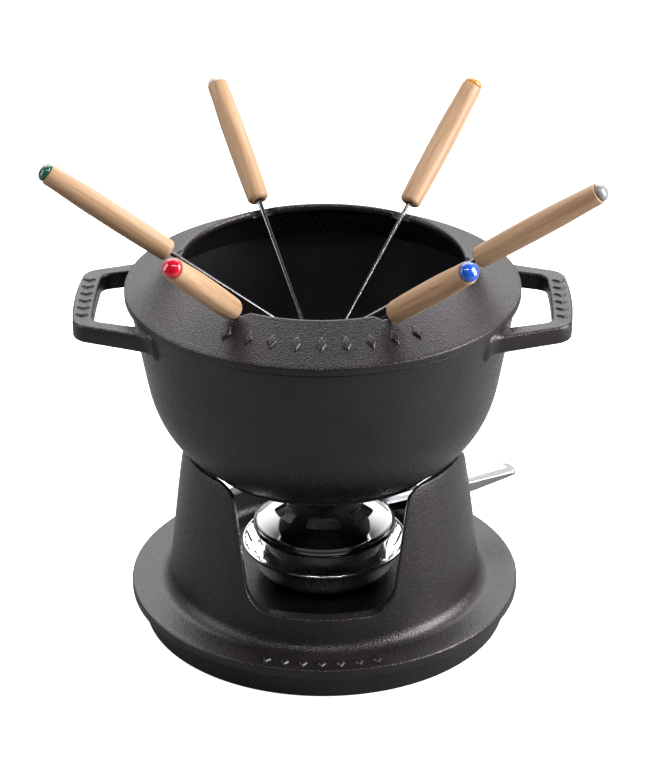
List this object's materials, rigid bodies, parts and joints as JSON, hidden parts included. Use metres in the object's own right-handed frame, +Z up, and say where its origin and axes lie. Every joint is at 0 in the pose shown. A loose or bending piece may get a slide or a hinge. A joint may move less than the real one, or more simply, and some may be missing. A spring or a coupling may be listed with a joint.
{
  "type": "fondue pot set",
  "caption": "Cast fondue pot with loop handles on a windowed stand over a paste burner with a turning regulator, and long forks resting in the notches of a lift-off ring.",
  "frame": {"origin": "on the stand's upright axis, at the height of the table it stands on", "axes": "+Z up, -Y towards the front, +X to the right along the two loop handles"},
  "size_m": [0.3012, 0.2709, 0.2748],
  "materials": {
    "enamelled_iron": "matte charcoal enamel with a fine grain, gloss black inside the pot",
    "bright_chrome": "mirror bright",
    "plain_steel": "satin",
    "fork_steel": "dark and half bright",
    "pale_wood": "fine sanded, thin clear coat",
    "wadding": "matt pressed wool",
    "cap_grey": "gloss",
    "cap_orange": "gloss",
    "cap_white": "gloss",
    "cap_green": "gloss",
    "cap_red": "gloss",
    "cap_blue": "gloss"
  },
  "bodies": {
    "stand": {"stand": "enamelled_iron"},
    "pot": {"pot": "enamelled_iron"},
    "ring": {"fork_ring": "enamelled_iron"},
    "burner": {"burner_saucer": "bright_chrome", "fuel_cup": "plain_steel", "fuel_wadding": "wadding", "wadding_gauze": "plain_steel", "inner_vent_dome": "plain_steel"},
    "regulator": {"regulator_cap": "bright_chrome", "regulator_lever": "bright_chrome"},
    "fork_1": {"fork_shaft_1": "fork_steel", "fork_handle_1": "pale_wood", "fork_cap_1": "cap_grey"},
    "fork_2": {"fork_shaft_2": "fork_steel", "fork_handle_2": "pale_wood", "fork_cap_2": "cap_orange"},
    "fork_3": {"fork_shaft_3": "fork_steel", "fork_handle_3": "pale_wood", "fork_cap_3": "cap_white"},
    "fork_4": {"fork_shaft_4": "fork_steel", "fork_handle_4": "pale_wood", "fork_cap_4": "cap_green"},
    "fork_5": {"fork_shaft_5": "fork_steel", "fork_handle_5": "pale_wood", "fork_cap_5": "cap_red"},
    "fork_6": {"fork_shaft_6": "fork_steel", "fork_handle_6": "pale_wood", "fork_cap_6": "cap_blue"}
  },
  "joints": [
    {"name": "pot_lift", "type": "slide", "parent": "stand", "child": "pot", "axis": [0, 0, 1], "range_m": [0, 0.12]},
    {"name": "ring_lift", "type": "slide", "parent": "pot", "child": "ring", "axis": [0, 0, 1], "range_m": [0, 0.12]},
    {"name": "burner_lift", "type": "slide", "parent": "stand", "child": "burner", "axis": [0, 0, 1], "range_m": [0, 0.027]},
    {"name": "regulator_turn", "type": "hinge", "parent": "burner", "child": "regulator", "pos_m": [0, 0, 0.054], "axis": [0, 0, 1], "range_deg": [-20, 20]},
    {"name": "fork_1_slide", "type": "slide", "parent": "ring", "child": "fork_1", "axis": [0.7928, -0.2214, 0.5678], "range_m": [0, 0.165]},
    {"name": "fork_2_slide", "type": "slide", "parent": "ring", "child": "fork_2", "axis": [0.4677, 0.5714, 0.6743], "range_m": [0, 0.165]},
    {"name": "fork_3_slide", "type": "slide", "parent": "ring", "child": "fork_3", "axis": [-0.3075, 0.7209, 0.6211], "range_m": [0, 0.165]},
    {"name": "fork_4_slide", "type": "slide", "parent": "ring", "child": "fork_4", "axis": [-0.8177, 0.0271, 0.575], "range_m": [0, 0.165]},
    {"name": "fork_5_slide", "type": "slide", "parent": "ring", "child": "fork_5", "axis": [-0.3486, -0.7115, 0.6101], "range_m": [0, 0.165]},
    {"name": "fork_6_slide", "type": "slide", "parent": "ring", "child": "fork_6", "axis": [0.437, -0.6833, 0.585], "range_m": [0, 0.165]}
  ]
}
